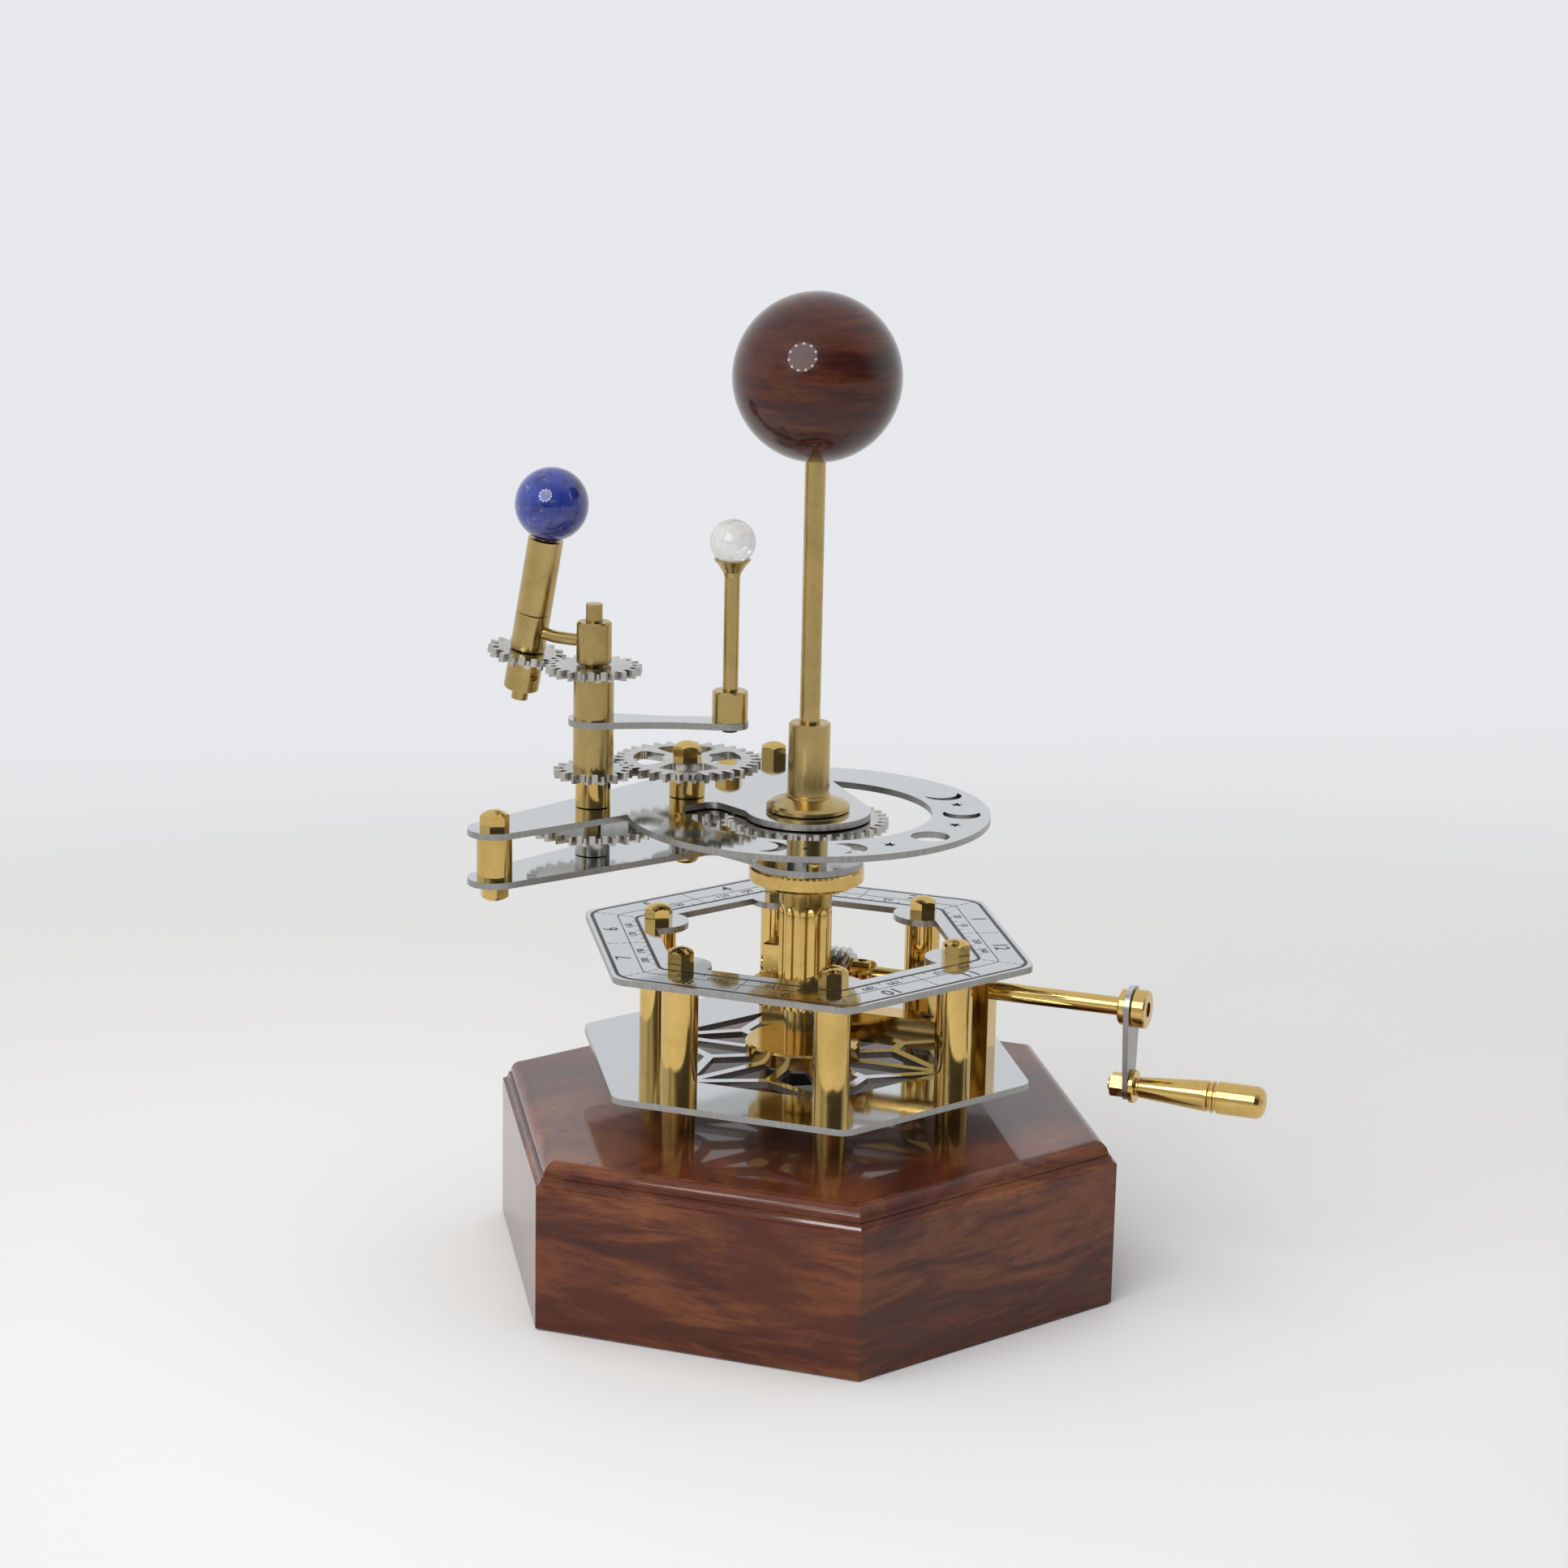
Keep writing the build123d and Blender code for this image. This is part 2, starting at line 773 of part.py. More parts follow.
def idlerFasteners():
    level = (armHighTop + spokedLevel) / 2 + 1.2
    screw = setScrew(idlerAt, idlerScrewAngle, level, idlerRadius + 0.1, gearHubRadius - 0.7)
    nut = capNut(idlerAt, spokedTop, 5)
    nut = nut - rod(idlerRadius, spokedTop - 1, spokedTop + nutHeight - 2.0, idlerAt)
    return group([screw, nut])


def spindle():
    return rod(spindleRadius, armLow - bushDrop + 1.5, spindleTop, earthAt)


def earthWheel():
    tooth = bearing(earthAt, idlerAt) + gapTurn(earthWheelTeeth)
    hub = tube(gearHubRadius, spindleRadius, armLowTop + sideGap, gearLow, earthAt)
    return placedGear(earthWheelTeeth, gearLow, earthAt, tooth, spindleRadius) + hub


def tiltRod():
    joint = stemPlane.from_local_coords(Vector(0, 0, rodAlong))
    bend = stemPlane.from_local_coords(Vector(rodReach, 0, rodAlong))
    level = bend.Z
    inward = polar(1, stemSide)
    near = spindleRadius + 0.55
    end = Vector(earthAt[0] + inward[0] * near, earthAt[1] + inward[1] * near, level)
    start = joint + (bend - joint) * (near / rodReach)
    path = FilletPolyline(start, bend, end, radius=7.0)
    section = Plane(origin=path @ 0, z_dir=path % 0) * Circle(rodRadius)
    return sweep(section, path=path)


def spindleCollar():
    low = collarLow
    body = turned([
        (spindleRadius, low), (gearHubRadius - 0.4, low), (gearHubRadius, low + 0.4),
        (gearHubRadius, collarTop - 0.6), (gearHubRadius - 0.6, collarTop),
        (spindleRadius, collarTop),
    ], earthAt)
    return body - tiltRod()


def tiltSleeve():
    low = pinionThick / 2 + sideGap
    body = Pos(0, 0, low + sleeveLength / 2) * Cylinder(gearHubRadius, sleeveLength)
    body = chamfer(body.edges().filter_by(GeomType.CIRCLE), 0.4)
    body = body - Cylinder(spindleRadius + runFit, through)
    return stemPlane * body - tiltRod()


def moonHub():
    body = tube(gearHubRadius, spindleRadius + runFit, armHighTop + sideGap, spokedLevel, earthAt)
    level = spokedLevel - 2.4
    return body - screwHole(earthAt, moonScrewAngle, level, screwRadius, 8)


def moonScrews():
    inner = spindleRadius + 0.4
    screw = setScrew(earthAt, moonScrewAngle, spokedLevel - 2.4, inner, gearHubRadius - 0.7)
    head = rod(2.6, moonArmLevel - 1.5, moonArmLevel, moonAt)
    shank = rod(screwShank, moonArmLevel, moonArmTop + 4, moonAt)
    slot = Pos(moonAt[0], moonAt[1], moonArmLevel - 1.5) * Box(6, 0.7, 1.2)
    return group([screw, head + shank - slot])


def moonGear():
    tooth = bearing(earthAt, idlerAt) + gapTurn(moonTeeth)
    return placedGear(moonTeeth, spokedLevel, earthAt, tooth, spindleRadius + runFit)


def moonTubes():
    bore = spindleRadius + runFit
    return group([
        tube(moonTubeRadius, bore, spokedTop, moonArmLevel, earthAt),
        tube(moonTubeRadius, bore, moonArmTop, moonTubeTop, earthAt),
    ])


def moonArm():
    length = moonReach
    top = [(0, 8.6), (length * 0.28, 6.3), (length * 0.6, 5.0), (length * 0.82, 5.4), (length, 6.4)]
    low = [(x, -y) for x, y in reversed(top)]
    upper = Spline(*top)
    lower = Spline(*low)
    sheet = make_face([upper, Line(top[-1], low[0]), lower, Line(low[-1], top[0])])
    sheet = sheet + Circle(8.6) + Pos(length, 0) * Circle(6.4)
    sheet = sheet - Circle(spindleRadius + runFit) - Pos(length, 0) * Circle(screwShank)
    body = Rot(0, 0, moonBearing) * extrude(sheet, moonArmThick)
    return Pos(earthAt[0], earthAt[1], moonArmLevel) * body


def driveGear():
    body = gear(driveTeeth, driveThick, spindleRadius + runFit, 0.34, gearModule, 0.92)
    return Pos(earthAt[0], earthAt[1], moonTubeTop) * Rot(0, 0, stemSide) * body


def moonBase():
    sunk = moonBaseTop - 5.0
    return turned([
        (0, moonArmTop), (moonBaseRadius, moonArmTop), (moonBaseRadius, moonBaseTop - 0.5),
        (moonBaseRadius - 0.5, moonBaseTop), (moonStemRadius, moonBaseTop),
        (moonStemRadius, sunk), (0, sunk),
    ], moonAt) - rod(screwShank, moonArmTop - 1, moonArmTop + 4, moonAt)


def moonStem():
    low = moonBaseTop - 5.0
    rim = moonBallLevel - 5.6
    body = turned([
        (0, low), (moonStemRadius, low), (moonStemRadius, rim - 6.2), (3.2, rim - 4.6),
        (4.6, rim - 2.4), (moonCupRadius, rim - 0.5), (moonCupRadius, rim), (0, rim),
    ], moonAt)
    return body - Pos(moonAt[0], moonAt[1], moonBallLevel) * Sphere(moonBallRadius)


def moonBall():
    return Pos(moonAt[0], moonAt[1], moonBallLevel) * Sphere(moonBallRadius)


def earthPinion():
    body = gear(earthPinionTeeth, pinionThick, spindleRadius, 0.34, gearModule, 0.92)
    return stemPlane * Pos(0, 0, -pinionThick / 2) * Rot(0, 0, gapTurn(earthPinionTeeth)) * body


def earthStem():
    middle = (stemAbove - stemBelow) / 2
    return stemPlane * Pos(0, 0, middle) * Cylinder(spindleRadius, stemAbove + stemBelow)


def earthHub():
    top = -pinionThick / 2
    body = Pos(0, 0, top - hubBelow / 2) * Cylinder(gearHubRadius, hubBelow)
    body = chamfer(body.edges().group_by(Axis.Z)[0], 0.5)
    body = body - Cylinder(spindleRadius, through)
    drill = Pos(0, 0, top - 5.0) * Rot(0, 0, earthScrewAngle) * Pos(6, 0, 0) * Rot(0, 90, 0)
    screw = Cylinder(screwRadius, 2.0) - Pos(0, 0, 0.6) * Cylinder(0.9, 1.2)
    screw = Pos(0, 0, top - 5.0) * Rot(0, 0, earthScrewAngle) * Pos(4.2, 0, 0) * Rot(0, 90, 0) * screw
    return group([stemPlane * (body - drill * Cylinder(screwRadius, 7)), stemPlane * screw])


def earthTube():
    low = pinionThick / 2 + sideGap + sleeveLength + sideGap
    high = tubeEnd + pinionThick / 2
    body = Pos(0, 0, (low + high) / 2) * Cylinder(gearHubRadius, high - low)
    body = body - Cylinder(spindleRadius, through)
    ball = Pos(0, 0, earthBallAlong + pinionThick / 2) * Sphere(earthBallRadius)
    return stemPlane * (body - ball)


def earthBall():
    ball = Pos(0, 0, earthBallAlong + pinionThick / 2) * Sphere(earthBallRadius)
    middle = (stemAbove - stemBelow) / 2
    hole = Pos(0, 0, middle) * Cylinder(spindleRadius, stemAbove + stemBelow)
    return stemPlane * (ball - hole)


def crankShaft():
    start = bracketStart - 1.5
    body = alongShaft(shaftRadius, start, shoulderEnd)
    end = shoulderEnd + washerThick + stripThick + endNutLength - 2.2
    return body + alongShaft(spigotRadius, shoulderEnd, end)


def wormThread():
    root = wormPitchRadius - 1.0 * wheelModule - 0.25
    tip = wormPitchRadius + 0.9 * wheelModule
    core = Cylinder(root, wormLength)
    half = wormPitch / 4 - 0.14
    slope = tan(radians(20))
    turns = wormLength / wormPitch - 1.2
    path = Helix(wormPitch, turns * wormPitch, root, center=(0, 0, -turns * wormPitch / 2))
    outer = tip - root
    base = half + (wormPitchRadius - root) * slope
    crest = half - (tip - wormPitchRadius) * slope
    section = Plane(origin=path @ 0, x_dir=(1, 0, 0), z_dir=path % 0) * make_face(Polyline(
        (-0.3, -base), (outer, -crest), (outer, crest), (-0.3, base), close=True))
    ridge = sweep(section, path=path, is_frenet=True)
    return core, ridge


def worm():
    core, ridge = wormThread()
    turns = wormLength / wormPitch - 1.2
    body = core + ridge
    body = body - Cylinder(shaftRadius, through)
    quarter = (turns / 2 - int(turns / 2)) * 360.0
    return shaftPlane * Rot(0, 0, 180 - quarter) * body


def wormCollar():
    body = alongShaft(wormCollarRadius, wormLength / 2, wormLength / 2 + wormCollarLength)
    body = chamfer(body.edges().filter_by(GeomType.CIRCLE), 0.4)
    body = body - alongShaft(shaftRadius, 0, through)
    drill = Pos(0, 0, (wormLength + wormCollarLength) / 2) * Rot(-90, 0, 0) * Pos(0, 0, 6)
    return body - shaftPlane * (drill * Cylinder(screwRadius, 7))


def onPin(radius, start, end):
    return pinPlane * Pos(0, 0, (start + end) / 2) * Cylinder(radius, end - start)


def crankWashers():
    near = alongShaft(6.2, shoulderEnd, stripStart)
    near = chamfer(near.edges().filter_by(GeomType.CIRCLE), 0.5)
    near = near - alongShaft(spigotRadius, shoulderEnd - 1, stripStart + 1)
    flange = onPin(5.8, stripEnd, stripEnd + flangeThick)
    flange = chamfer(flange.edges().filter_by(GeomType.CIRCLE), 0.3)
    flange = flange - onPin(pinRadius, stripEnd - 1, stripEnd + 5)
    return group([near, flange])


def crankStrip():
    hubHalf = 7.8
    endHalf = 5.0
    top = tangentSide((0, 0), hubHalf, (0, -throw), endHalf, 1)
    left = tangentSide((0, 0), hubHalf, (0, -throw), endHalf, -1)
    sides = make_face(Polyline(top[0], top[1], (0, -throw), left[1], left[0], (0, 0), close=True))
    sheet = Circle(hubHalf) + sides + Pos(0, -throw) * Circle(endHalf)
    sheet = sheet - Circle(spigotRadius) - Pos(0, -throw) * Circle(pinRadius)
    return shaftPlane * Pos(0, 0, stripStart) * extrude(sheet, stripThick)


def crankNuts():
    end = stripEnd + endNutLength
    cap = alongShaft(endNutRadius, stripEnd, end)
    cap = chamfer(cap.edges().filter_by(GeomType.CIRCLE), 0.5)
    cap = cap - alongShaft(spigotRadius, stripEnd - 1, end + 1)
    hexagon = extrude(RegularPolygon(3.7, 6, major_radius=False), 5.2)
    hexagon = chamfer(hexagon.edges().group_by(Axis.Z)[0], 0.4)
    hexagon = hexagon - Cylinder(pinRadius, 30)
    return group([cap, pinPlane * Pos(0, 0, stripStart - 5.2) * hexagon])


def handlePin():
    shank = onPin(pinRadius, stripStart - 6.0, headStart)
    return shank + onPin(pinHeadRadius, headStart, headEnd)


def turnedOnPin(points):
    outline = make_face(Plane.XZ * Polyline(*points, close=True))
    return pinPlane * revolve(outline, Axis.Z)


def crankGrip():
    bore = pinRadius + runFit
    wide = pinHeadRadius + sideGap
    slim = gripRadius - 2.4
    neck = gripRadius - 0.9
    body = turnedOnPin([
        (bore, gripStart), (slim, gripStart), (slim, gripStart + 0.8),
        (slim + 0.4, gripStart + 1.2), (gripRadius - 0.25, gripJoint - 3.6),
        (gripRadius - 0.25, gripJoint - 2.6), (neck, gripJoint - 2.2), (neck, gripJoint - 1.8),
        (gripRadius - 0.1, gripJoint - 1.4), (gripRadius - 0.1, gripJoint - 0.6),
        (neck, gripJoint - 0.3), (neck, gripJoint), (wide, gripJoint),
        (wide, headStart - seatGap), (bore, headStart - seatGap),
    ])
    cap = turnedOnPin([
        (0, headEnd + 2.0), (wide, headEnd + 2.0), (wide, gripJoint), (neck, gripJoint),
        (neck, gripJoint + 0.4), (gripRadius, gripJoint + 0.8), (gripRadius, gripEnd - 3.2),
        (gripRadius - 0.6, gripEnd - 1.6), (gripRadius - 2.2, gripEnd - 0.5), (0, gripEnd),
    ])
    return group([body, cap])


save(woodBase(), "wood_base")
save(tieRods(), "tie_rods")
save(baseNuts(), "clamp_nuts")
save(feet(), "foot_spacers")
save(lowerPlate(), "lower_plate")
save(pillars(), "pillars")
save(upperPlate(), "upper_plate")
save(pillarNuts(), "pillar_nuts")
save(centreBoss(), "centre_boss")
save(centrePost(), "centre_post")
save(bracketBar(), "bracket_bar")
save(bracketScrewSet(), "bracket_screws")
save(bearingPosts(), "bearing_posts")
save(sunGear(), "sun_gear")
save(sunSocket(), "sun_socket")
save(sunRod(), "sun_rod")
save(sunBall(), "sun_ball")
save(wormWheel(), "worm_wheel")
save(column(), "column")
save(columnCollar(), "column_collar")
save(lowerArm(), "lower_arm")
save(upperArm(), "moon_ring_arm")
save(armSpacers(), "arm_spacers")
save(armStuds(), "arm_studs")
save(armFasteners(), "arm_fasteners")
save(armBushes(), "arm_bushes")
save(spokedGear(), "spoked_gear")
save(idlerShaft(), "idler_shaft")
save(idlerHigh(), "idler_high_gear")
save(idlerLow(), "idler_low_gear")
save(idlerWasher(), "idler_washer")
save(idlerHub(), "idler_hub")
save(idlerFasteners(), "idler_fasteners")
save(spindle(), "spindle")
save(earthWheel(), "earth_wheel")
save(spindleCollar(), "spindle_collar")
save(tiltRod(), "tilt_rod")
save(tiltSleeve(), "tilt_sleeve")
save(moonHub(), "moon_hub")
save(moonScrews(), "moon_screws")
save(moonGear(), "moon_gear")
save(moonTubes(), "moon_tubes")
save(moonArm(), "moon_arm")
save(driveGear(), "drive_gear")
save(moonBase(), "moon_base")
save(moonStem(), "moon_stem")
save(moonBall(), "moon_ball")
save(earthPinion(), "earth_pinion")
save(earthStem(), "earth_stem")
save(earthHub(), "earth_hub")
save(earthTube(), "earth_tube")
save(earthBall(), "earth_ball")
save(crankShaft(), "crank_shaft")
save(worm(), "worm")
save(wormCollar(), "worm_collar")
save(crankWashers(), "crank_washers")
save(crankStrip(), "crank_strip")
save(crankNuts(), "crank_nuts")
save(handlePin(), "handle_pin")
save(crankGrip(), "crank_grip")
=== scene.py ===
import bpy
import bmesh
import json
from math import cos, pi, radians, sin
from mathutils import Matrix, Vector


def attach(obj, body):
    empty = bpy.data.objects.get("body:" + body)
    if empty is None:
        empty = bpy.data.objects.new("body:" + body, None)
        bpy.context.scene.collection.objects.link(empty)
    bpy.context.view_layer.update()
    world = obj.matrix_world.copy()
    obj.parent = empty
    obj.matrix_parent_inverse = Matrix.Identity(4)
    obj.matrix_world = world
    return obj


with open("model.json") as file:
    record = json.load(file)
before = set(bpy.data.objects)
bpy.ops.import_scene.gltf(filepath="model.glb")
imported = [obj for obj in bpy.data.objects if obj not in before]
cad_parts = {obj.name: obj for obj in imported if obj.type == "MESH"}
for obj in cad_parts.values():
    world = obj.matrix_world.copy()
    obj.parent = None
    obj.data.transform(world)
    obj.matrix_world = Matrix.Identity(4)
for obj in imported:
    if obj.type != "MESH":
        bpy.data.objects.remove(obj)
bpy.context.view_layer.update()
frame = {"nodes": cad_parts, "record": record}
print("solids loaded", len(frame["nodes"]))

mm = 0.001


# wraps a socket, and an expression on values adds its Math nodes
class Value:
    def __init__(self, graph, socket):
        self.graph = graph
        self.socket = socket

    def __add__(self, other):
        return self.graph.maths("ADD", self, other)

    __radd__ = __add__

    def __sub__(self, other):
        return self.graph.maths("SUBTRACT", self, other)

    def __rsub__(self, other):
        return self.graph.maths("SUBTRACT", other, self)

    def __mul__(self, other):
        return self.graph.maths("MULTIPLY", self, other)

    __rmul__ = __mul__

    def __truediv__(self, other):
        return self.graph.maths("DIVIDE", self, other)

    def __rtruediv__(self, other):
        return self.graph.maths("DIVIDE", other, self)

    def __abs__(self):
        return self.graph.maths("ABSOLUTE", self)

    def clamped(self):
        return self.graph.add("Clamp", Value=self)

    # nought below the level, and above it rising to one
    def above(self, level, gain):
        return ((self - level) * gain).clamped()

    # what a noise adds to an even value or takes from it
    def swing(self, amount, middle=0.5):
        return (self - middle) * amount


class Graph:
    def __init__(self, owner):
        owner.use_nodes = True
        self.tree = owner.node_tree
        self.tree.nodes.clear()

    def plug(self, item, socket):
        if isinstance(item, Value):
            self.tree.links.new(item.socket, socket)
        elif socket.type == "RGBA":
            socket.default_value = (*item, 1)
        else:
            socket.default_value = item

    # a socket goes by its name, or by its number where names repeat
    def findSocket(self, node, key):
        if key.startswith("input"):
            return node.inputs[int(key.removeprefix("input"))]
        name = key.replace("_", " ")
        return next(socket for socket in node.inputs if socket.name == name and socket.enabled)

    def add(self, kind, out=0, settings=None, stops=(), **sockets):
        node = self.tree.nodes.new("ShaderNode" + kind)
        for key, setting in (settings or {}).items():
            setattr(node, key, setting)
        for index, (place, colour) in enumerate(stops):
            elements = node.color_ramp.elements
            element = elements[index] if index < len(elements) else elements.new(place)
            element.position = place
            element.color = (*colour, 1)
        for key, item in sockets.items():
            self.plug(item, self.findSocket(node, key))
        return Value(self, node.outputs[out]) if node.outputs else None

    def maths(self, operation, *items):
        sockets = {"input%d" % index: item for index, item in enumerate(items)}
        return self.add("Math", settings={"operation": operation}, **sockets)

    def coordinates(self, turn=(0, 0, 0), stretch=(1, 1, 1)):
        return self.add("Mapping", Vector=self.add("TexCoord", out=3), Rotation=turn, Scale=stretch)

    def noise(self, where, scale, detail=3.0, roughness=0.5, distortion=0.0):
        return self.add("TexNoise", Vector=where, Scale=scale, Detail=detail,
                        Roughness=roughness, Distortion=distortion)

    def ramp(self, factor, stops):
        return self.add("ValToRGB", stops=stops, Fac=factor)

    def mix(self, factor, first, second):
        return self.add("Mix", out=2, settings={"data_type": "RGBA"},
                        input0=factor, input6=first, input7=second)

    def split(self, vector, part):
        return self.add("SeparateXYZ", out="XYZ".index(part), Vector=vector)

    def bump(self, height, distance, strength):
        return self.add("Bump", Height=height, Distance=distance, Strength=strength)


def newMaterial(name):
    material = bpy.data.materials.new(name)
    return material, Graph(material)


brassLook = dict(colour=(0.70, 0.485, 0.165), stain=(0.50, 0.325, 0.085), roughness=0.12)
satinLook = dict(colour=(0.52, 0.385, 0.155), stain=(0.30, 0.215, 0.080), roughness=0.22)
brassGrain = dict(cloudScale=42.0, spotScale=620.0, turned=(9, 9, 3200), even=(300, 300, 300),
                  stainLevel=0.42, stainGain=3.2, cloudStain=0.65, spotStain=0.5,
                  cloudRough=0.16, spotRough=0.10, lineRough=0.04, lineDepth=0.003 * mm, lineBump=0.4)


def makeBrass(name, look, lines="turned"):
    material, g = newMaterial(name)
    grain = brassGrain
    where = g.coordinates()
    cloud = g.noise(where, grain["cloudScale"], 5.0, 0.65, 0.5)
    spots = g.noise(where, grain["spotScale"], 3.0, 0.6)
    marks = g.noise(g.coordinates(stretch=grain[lines]), 1.0, 2.0, 0.6)
    stain = (cloud.above(grain["stainLevel"], grain["stainGain"]) * grain["cloudStain"]
             + spots.swing(grain["spotStain"]))
    rough = (look["roughness"] + cloud.swing(grain["cloudRough"]) + spots.swing(grain["spotRough"])
             + marks.swing(grain["lineRough"]))
    tone = g.mix(stain.clamped(), look["colour"], look["stain"])
    shader = g.add("BsdfPrincipled", Base_Color=tone, Metallic=1.0, Roughness=rough.clamped(),
                   Normal=g.bump(marks, grain["lineDepth"], grain["lineBump"]))
    g.add("OutputMaterial", Surface=shader)
    return material


# the steep-face colour here is painted shade, a dark colour in place of the dark reflection those faces
# show; the cut colour adds real saw marks on it
steelLook = dict(face=(0.63, 0.645, 0.65), edgeShade=(0.26, 0.26, 0.255), cut=(0.46, 0.455, 0.44),
                 roughness=0.07, edgeRough=0.32, flatFrom=0.7, flatGain=4.0,
                 smearScale=26.0, smearMiddle=0.45, smearRough=0.08,
                 scratchStretch=(60, 1400, 60), scratchTurn=(0, 0, 0.5), scratchRough=0.05,
                 scratchDepth=0.05, cutStretch=(900, 900, 120), cutRough=0.2, depth=0.03 * mm, bump=0.5)


# clear faces lie level, and the sawn edges of a sheet are dull; the steep edge faces are also given a
# darker colour, painted shade that stands in for the dark surroundings in front that they reflect
def makeSteel(name, look):
    material, g = newMaterial(name)
    level = abs(g.split(g.add("TexCoord", out=1), "Z"))
    flat = (level * look["flatGain"] - look["flatFrom"] * look["flatGain"]).clamped()
    smear = g.noise(g.coordinates(), look["smearScale"], 4.0, 0.6, 0.4)
    scratch = g.noise(g.coordinates(look["scratchTurn"], look["scratchStretch"]), 1.0, 2.0, 0.6)
    cut = g.noise(g.coordinates(stretch=look["cutStretch"]), 1.0, 2.0, 0.6)
    # steep faces take the darker painted-shade colour, and level faces the bright steel
    tone = g.mix(flat, g.mix(cut, look["edgeShade"], look["cut"]), look["face"])
    faceRough = (look["roughness"] + smear.swing(look["smearRough"], look["smearMiddle"])
                 + scratch.swing(look["scratchRough"]))
    edgeRough = look["edgeRough"] + cut.swing(look["cutRough"])
    rough = faceRough * flat + edgeRough * (1 - flat)
    height = cut * (1 - flat) + scratch * flat * look["scratchDepth"]
    shader = g.add("BsdfPrincipled", Base_Color=tone, Metallic=1.0, Roughness=rough.clamped(),
                   Normal=g.bump(height, look["depth"], look["bump"]))
    g.add("OutputMaterial", Surface=shader)
    return material


gearLook = dict(face=(0.62, 0.61, 0.58), dark=(0.34, 0.33, 0.31), roughness=0.17,
                cloudScale=60.0, cloudGain=1.6, cloudFrom=0.45, cloudRough=0.15,
                gritScale=1400.0, gritRough=0.08, depth=0.01 * mm, bump=0.4)


def makeGearMetal(name, look):
    material, g = newMaterial(name)
    where = g.coordinates()
    cloud = g.noise(where, look["cloudScale"], 4.0, 0.6)
    grit = g.noise(where, look["gritScale"], 2.0, 0.6)
    shade = (cloud * look["cloudGain"] - look["cloudFrom"]).clamped()
    rough = look["roughness"] + cloud.swing(look["cloudRough"]) + grit.swing(look["gritRough"])
    shader = g.add("BsdfPrincipled", Base_Color=g.mix(shade, look["face"], look["dark"]),
                   Metallic=1.0, Roughness=rough.clamped(),
                   Normal=g.bump(grit, look["depth"], look["bump"]))
    g.add("OutputMaterial", Surface=shader)
    return material


darkLook = dict(dark=(0.012, 0.012, 0.013), pale=(0.045, 0.044, 0.043), metallic=0.6,
                gritScale=700.0, roughness=0.3, gritRough=0.2)


def makeDarkSteel(name, look):
    material, g = newMaterial(name)
    grit = g.noise(g.coordinates(), look["gritScale"], 2.0, 0.6)
    tone = g.ramp(grit, [(0.3, look["dark"]), (0.8, look["pale"])])
    shader = g.add("BsdfPrincipled", Base_Color=tone, Metallic=look["metallic"],
                   Roughness=look["roughness"] + grit * look["gritRough"])
    g.add("OutputMaterial", Surface=shader)
    return material


woodLook = dict(dark=(0.018, 0.0040, 0.0018), red=(0.078, 0.0150, 0.0058), gold=(0.21, 0.066, 0.018),
                turn=(0.5, 0.85, 0.3), size=1.0, coat=0.85, coatRough=0.05)
sunLook = dict(dark=(0.010, 0.0026, 0.0020), red=(0.040, 0.0085, 0.0048), gold=(0.105, 0.028, 0.010),
               turn=(1.2, 0.5, 0.2), size=1.7, coat=1.0, coatRough=0.04)
woodGrain = dict(driftScale=9.0, driftGain=2.8, driftFrom=1.0, wideScale=15.0, wideStretch=4.4,
                 fineScale=42.0, fineStretch=10, wideShare=0.7, fineShare=0.3,
                 pores=(260, 260, 1500), poreLevel=0.58, poreGain=6.0, poreShade=0.75,
                 roughness=0.38, fineRough=0.2, specular=0.12, coatIndex=1.36,
                 poreDepth=0.4, wideDepth=0.2, depth=0.03 * mm, bump=0.3)


def makeWood(name, look):
    material, g = newMaterial(name)
    grain = woodGrain
    turn = look["turn"]
    wide = grain["wideScale"] * look["size"]
    thin = grain["fineScale"] * look["size"]
    drift = g.noise(g.coordinates(turn), grain["driftScale"] * look["size"], 3.0, 0.55, 0.6)
    figure = g.noise(g.coordinates(turn, (wide, wide, wide * grain["wideStretch"])), 1.0, 4.0, 0.6, 1.2)
    fine = g.noise(g.coordinates(turn, (thin, thin, thin * grain["fineStretch"])), 1.0, 4.0, 0.65, 0.4)
    pores = g.noise(g.coordinates(turn, grain["pores"]), 1.0, 3.0, 0.6)
    rings = figure * grain["wideShare"] + fine * grain["fineShare"]
    tone = g.ramp(rings, [(0.34, look["dark"]), (0.47, look["red"]), (0.60, look["gold"]),
                          (0.74, look["red"])])
    tone = g.mix((drift * grain["driftGain"] - grain["driftFrom"]).clamped(), tone, look["red"])
    shade = pores.above(grain["poreLevel"], grain["poreGain"]) * grain["poreShade"]
    height = pores * grain["poreDepth"] + figure * grain["wideDepth"]
    shader = g.add("BsdfPrincipled", Base_Color=g.mix(shade, tone, look["dark"]),
                   Roughness=grain["roughness"] + fine.swing(grain["fineRough"]),
                   Specular_IOR_Level=grain["specular"], Coat_Weight=look["coat"],
                   Coat_Roughness=look["coatRough"], Coat_IOR=grain["coatIndex"],
                   Normal=g.bump(height, grain["depth"], grain["bump"]))
    g.add("OutputMaterial", Surface=shader)
    return material


lapisLook = dict(deep=(0.006, 0.010, 0.085), blue=(0.020, 0.040, 0.26), pale=(0.25, 0.26, 0.33),
                 gold=(0.42, 0.30, 0.12), cloudScale=95.0, veinScale=160.0, fleckScale=1500.0,
                 veinShare=0.55, roughness=0.12, coat=0.6, coatRough=0.03)


